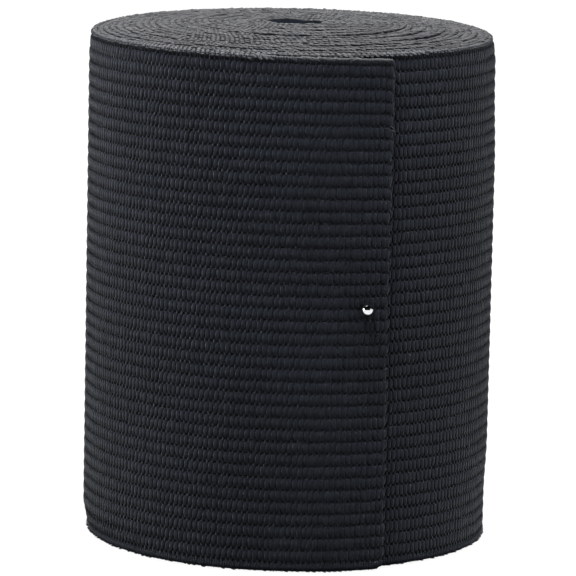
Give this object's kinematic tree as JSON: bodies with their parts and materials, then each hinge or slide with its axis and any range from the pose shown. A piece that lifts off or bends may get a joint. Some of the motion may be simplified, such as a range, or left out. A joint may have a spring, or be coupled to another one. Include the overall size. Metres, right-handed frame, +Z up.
{
  "type": "reel of elastic",
  "caption": "Wide black ribbed elastic wound flat on itself into an upright roll, its cut end held down by a ball-headed pin.",
  "frame": {"origin": "centre of the box's underside, on the surface that the roll stands on", "axes": "+Z up along the winding axis, -Y towards the front, where the cut end and its pin show"},
  "size_m": [0.0818, 0.0824, 0.1038],
  "materials": {
    "elastic": "matte ribbed weave",
    "pin_steel": "polished"
  },
  "bodies": {
    "root": {"elastic_roll": "elastic", "pin": "pin_steel"}
  },
  "joints": []
}
